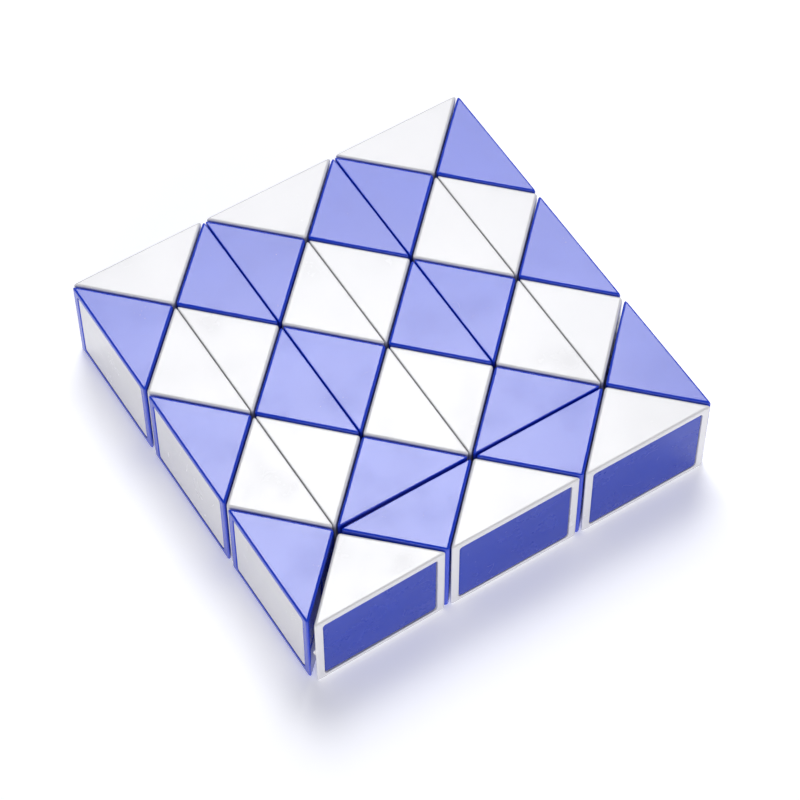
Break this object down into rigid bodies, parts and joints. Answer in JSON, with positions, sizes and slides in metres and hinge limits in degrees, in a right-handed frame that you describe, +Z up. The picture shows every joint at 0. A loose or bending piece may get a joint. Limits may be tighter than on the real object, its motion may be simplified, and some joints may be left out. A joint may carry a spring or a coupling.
{
  "type": "twisty snake puzzle",
  "caption": "Folding snake puzzle: two-colour triangular wedges on a chain of turning spring joints, folded flat into a square.",
  "frame": {"origin": "middle of the underside of the folded square", "axes": "+Z up through the square; +X along the side that holds the free white end wedge, away from that wedge; +Y along the side of white caps that starts at the same corner"},
  "size_m": [0.106, 0.1068, 0.0247],
  "materials": {
    "blue_plastic": "smooth moulded plastic with a soft gloss",
    "white_plastic": "smooth moulded plastic with a soft gloss",
    "steel": "plain zinc-plated wire and screws"
  },
  "bodies": {
    "wedge_01": {"shell_01": "white_plastic", "cap_01": "blue_plastic"},
    "wedge_02": {"shell_02": "blue_plastic", "screw_01": "steel", "spring_01": "steel"},
    "wedge_03": {"shell_03": "white_plastic", "cap_03": "blue_plastic", "screw_02": "steel", "spring_02": "steel"},
    "wedge_04": {"shell_04": "blue_plastic", "screw_03": "steel", "spring_03": "steel"},
    "wedge_05": {"shell_05": "white_plastic", "cap_05": "blue_plastic", "screw_04": "steel", "spring_04": "steel"},
    "wedge_06": {"shell_06": "blue_plastic", "cap_06": "white_plastic", "screw_05": "steel", "spring_05": "steel"},
    "wedge_07": {"shell_07": "white_plastic", "screw_06": "steel", "spring_06": "steel"},
    "wedge_08": {"shell_08": "blue_plastic", "cap_08": "white_plastic"},
    "wedge_09": {"shell_09": "white_plastic"},
    "wedge_10": {"shell_10": "blue_plastic", "cap_10": "white_plastic"},
    "wedge_11": {"shell_11": "white_plastic", "cap_11": "blue_plastic"},
    "wedge_12": {"shell_12": "blue_plastic"},
    "wedge_13": {"shell_13": "white_plastic"},
    "wedge_14": {"shell_14": "blue_plastic"},
    "wedge_15": {"shell_15": "white_plastic"},
    "wedge_16": {"shell_16": "blue_plastic"},
    "wedge_17": {"shell_17": "white_plastic"},
    "wedge_18": {"shell_18": "blue_plastic"},
    "wedge_19": {"shell_19": "white_plastic"},
    "wedge_20": {"shell_20": "blue_plastic"},
    "wedge_21": {"shell_21": "white_plastic", "cap_21": "blue_plastic"},
    "wedge_22": {"shell_22": "blue_plastic"},
    "wedge_23": {"shell_23": "white_plastic"},
    "wedge_24": {"shell_24": "blue_plastic"},
    "wedge_25": {"shell_25": "white_plastic"},
    "wedge_26": {"shell_26": "blue_plastic"},
    "wedge_27": {"shell_27": "white_plastic"},
    "wedge_28": {"shell_28": "blue_plastic"},
    "wedge_29": {"shell_29": "white_plastic"},
    "wedge_30": {"shell_30": "blue_plastic"},
    "wedge_31": {"shell_31": "white_plastic", "cap_31": "blue_plastic"},
    "wedge_32": {"shell_32": "blue_plastic", "cap_32": "white_plastic"},
    "wedge_33": {"shell_33": "white_plastic"},
    "wedge_34": {"shell_34": "blue_plastic", "cap_34": "white_plastic"},
    "wedge_35": {"shell_35": "white_plastic"},
    "wedge_36": {"shell_36": "blue_plastic", "cap_36": "white_plastic"}
  },
  "joints": [
    {"name": "twist_01", "type": "hinge", "parent": "wedge_02", "child": "wedge_01", "pos_m": [-0.02641, -0.04415, 0.01235], "axis": [0.7034, 0.7108, 0], "range_deg": [-3, 3]},
    {"name": "twist_02", "type": "hinge", "parent": "wedge_03", "child": "wedge_02", "pos_m": [-0.00873, -0.04406, 0.01235], "axis": [0.7108, -0.7034, 0], "range_deg": [-3, 3]},
    {"name": "twist_03", "type": "hinge", "parent": "wedge_04", "child": "wedge_03", "pos_m": [0.00894, -0.04397, 0.01235], "axis": [-0.7034, -0.7108, 0], "range_deg": [-3, 3]},
    {"name": "twist_04", "type": "hinge", "parent": "wedge_05", "child": "wedge_04", "pos_m": [0.02662, -0.04388, 0.01235], "axis": [-0.7108, 0.7034, 0], "range_deg": [-3, 3]},
    {"name": "twist_05", "type": "hinge", "parent": "wedge_06", "child": "wedge_05", "pos_m": [0.0443, -0.04378, 0.01235], "axis": [-0.7034, -0.7108, 0], "range_deg": [-3, 3]},
    {"name": "twist_06", "type": "hinge", "parent": "wedge_07", "child": "wedge_06", "pos_m": [0.04405, -0.02595, 0.01235], "axis": [0.7071, -0.7071, 0], "range_deg": [-3, 3]},
    {"name": "twist_07", "type": "hinge", "parent": "wedge_08", "child": "wedge_07", "pos_m": [0.04405, -0.00828, 0.01235], "axis": [-0.7071, -0.7071, 0], "range_deg": [-1.5, 1.5]},
    {"name": "twist_08", "type": "hinge", "parent": "wedge_09", "child": "wedge_08", "pos_m": [0.04405, 0.0094, 0.01235], "axis": [0.7071, -0.7071, 0], "range_deg": [-1.5, 1.5]},
    {"name": "twist_09", "type": "hinge", "parent": "wedge_10", "child": "wedge_09", "pos_m": [0.04405, 0.02708, 0.01235], "axis": [-0.7071, -0.7071, 0], "range_deg": [-1.5, 1.5]},
    {"name": "twist_10", "type": "hinge", "parent": "wedge_11", "child": "wedge_10", "pos_m": [0.04405, 0.04476, 0.01235], "axis": [-0.7071, 0.7071, 0], "range_deg": [-1.5, 1.5]},
    {"name": "twist_11", "type": "hinge", "parent": "wedge_12", "child": "wedge_11", "pos_m": [0.02637, 0.04476, 0.01235], "axis": [0.7071, 0.7071, 0], "range_deg": [-1.5, 1.5]},
    {"name": "twist_12", "type": "hinge", "parent": "wedge_13", "child": "wedge_12", "pos_m": [0.02637, 0.02708, 0.01235], "axis": [0.7071, -0.7071, 0], "range_deg": [-1.5, 1.5]},
    {"name": "twist_13", "type": "hinge", "parent": "wedge_14", "child": "wedge_13", "pos_m": [0.02637, 0.0094, 0.01235], "axis": [0.7071, 0.7071, 0], "range_deg": [-1.5, 1.5]},
    {"name": "twist_14", "type": "hinge", "parent": "wedge_15", "child": "wedge_14", "pos_m": [0.02637, -0.00828, 0.01235], "axis": [-0.7071, 0.7071, 0], "range_deg": [-1.5, 1.5]},
    {"name": "twist_15", "type": "hinge", "parent": "wedge_16", "child": "wedge_15", "pos_m": [0.02637, -0.02595, 0.01235], "axis": [0.7071, 0.7071, 0], "range_deg": [-1.5, 1.5]},
    {"name": "twist_16", "type": "hinge", "parent": "wedge_17", "child": "wedge_16", "pos_m": [0.0087, -0.02595, 0.01235], "axis": [0.7071, -0.7071, 0], "range_deg": [-1.5, 1.5]},
    {"name": "twist_17", "type": "hinge", "parent": "wedge_18", "child": "wedge_17", "pos_m": [0.0087, -0.00828, 0.01235], "axis": [-0.7071, -0.7071, 0], "range_deg": [-1.5, 1.5]},
    {"name": "twist_18", "type": "hinge", "parent": "wedge_18", "child": "wedge_19", "pos_m": [0.0087, 0.0094, 0.01235], "axis": [-0.7071, 0.7071, 0], "range_deg": [-1.5, 1.5]},
    {"name": "twist_19", "type": "hinge", "parent": "wedge_19", "child": "wedge_20", "pos_m": [0.0087, 0.02708, 0.01235], "axis": [-0.7071, -0.7071, 0], "range_deg": [-1.5, 1.5]},
    {"name": "twist_20", "type": "hinge", "parent": "wedge_20", "child": "wedge_21", "pos_m": [0.0087, 0.04476, 0.01235], "axis": [-0.7071, 0.7071, 0], "range_deg": [-1.5, 1.5]},
    {"name": "twist_21", "type": "hinge", "parent": "wedge_21", "child": "wedge_22", "pos_m": [-0.00898, 0.04476, 0.01235], "axis": [0.7071, 0.7071, 0], "range_deg": [-1.5, 1.5]},
    {"name": "twist_22", "type": "hinge", "parent": "wedge_22", "child": "wedge_23", "pos_m": [-0.00898, 0.02708, 0.01235], "axis": [0.7071, -0.7071, 0], "range_deg": [-1.5, 1.5]},
    {"name": "twist_23", "type": "hinge", "parent": "wedge_23", "child": "wedge_24", "pos_m": [-0.00898, 0.0094, 0.01235], "axis": [-0.7071, -0.7071, 0], "range_deg": [-1.5, 1.5]},
    {"name": "twist_24", "type": "hinge", "parent": "wedge_24", "child": "wedge_25", "pos_m": [-0.00898, -0.00828, 0.01235], "axis": [0.7071, -0.7071, 0], "range_deg": [-1.5, 1.5]},
    {"name": "twist_25", "type": "hinge", "parent": "wedge_25", "child": "wedge_26", "pos_m": [-0.00898, -0.02595, 0.01235], "axis": [0.7071, 0.7071, 0], "range_deg": [-1.5, 1.5]},
    {"name": "twist_26", "type": "hinge", "parent": "wedge_26", "child": "wedge_27", "pos_m": [-0.02666, -0.02595, 0.01235], "axis": [-0.7071, 0.7071, 0], "range_deg": [-1.5, 1.5]},
    {"name": "twist_27", "type": "hinge", "parent": "wedge_27", "child": "wedge_28", "pos_m": [-0.02666, -0.00828, 0.01235], "axis": [-0.7071, -0.7071, 0], "range_deg": [-1.5, 1.5]},
    {"name": "twist_28", "type": "hinge", "parent": "wedge_28", "child": "wedge_29", "pos_m": [-0.02666, 0.0094, 0.01235], "axis": [-0.7071, 0.7071, 0], "range_deg": [-1.5, 1.5]},
    {"name": "twist_29", "type": "hinge", "parent": "wedge_29", "child": "wedge_30", "pos_m": [-0.02666, 0.02708, 0.01235], "axis": [0.7071, 0.7071, 0], "range_deg": [-1.5, 1.5]},
    {"name": "twist_30", "type": "hinge", "parent": "wedge_30", "child": "wedge_31", "pos_m": [-0.02666, 0.04476, 0.01235], "axis": [0.7071, -0.7071, 0], "range_deg": [-1.5, 1.5]},
    {"name": "twist_31", "type": "hinge", "parent": "wedge_31", "child": "wedge_32", "pos_m": [-0.04434, 0.04476, 0.01235], "axis": [0.7071, 0.7071, 0], "range_deg": [-1.5, 1.5]},
    {"name": "twist_32", "type": "hinge", "parent": "wedge_32", "child": "wedge_33", "pos_m": [-0.04434, 0.02708, 0.01235], "axis": [0.7071, -0.7071, 0], "range_deg": [-1.5, 1.5]},
    {"name": "twist_33", "type": "hinge", "parent": "wedge_33", "child": "wedge_34", "pos_m": [-0.04434, 0.0094, 0.01235], "axis": [0.7071, 0.7071, 0], "range_deg": [-1.5, 1.5]},
    {"name": "twist_34", "type": "hinge", "parent": "wedge_34", "child": "wedge_35", "pos_m": [-0.04434, -0.00828, 0.01235], "axis": [0.7071, -0.7071, 0], "range_deg": [-1.5, 1.5]},
    {"name": "twist_35", "type": "hinge", "parent": "wedge_35", "child": "wedge_36", "pos_m": [-0.04434, -0.02595, 0.01235], "axis": [0.7071, 0.7071, 0], "range_deg": [-1.5, 1.5]}
  ]
}
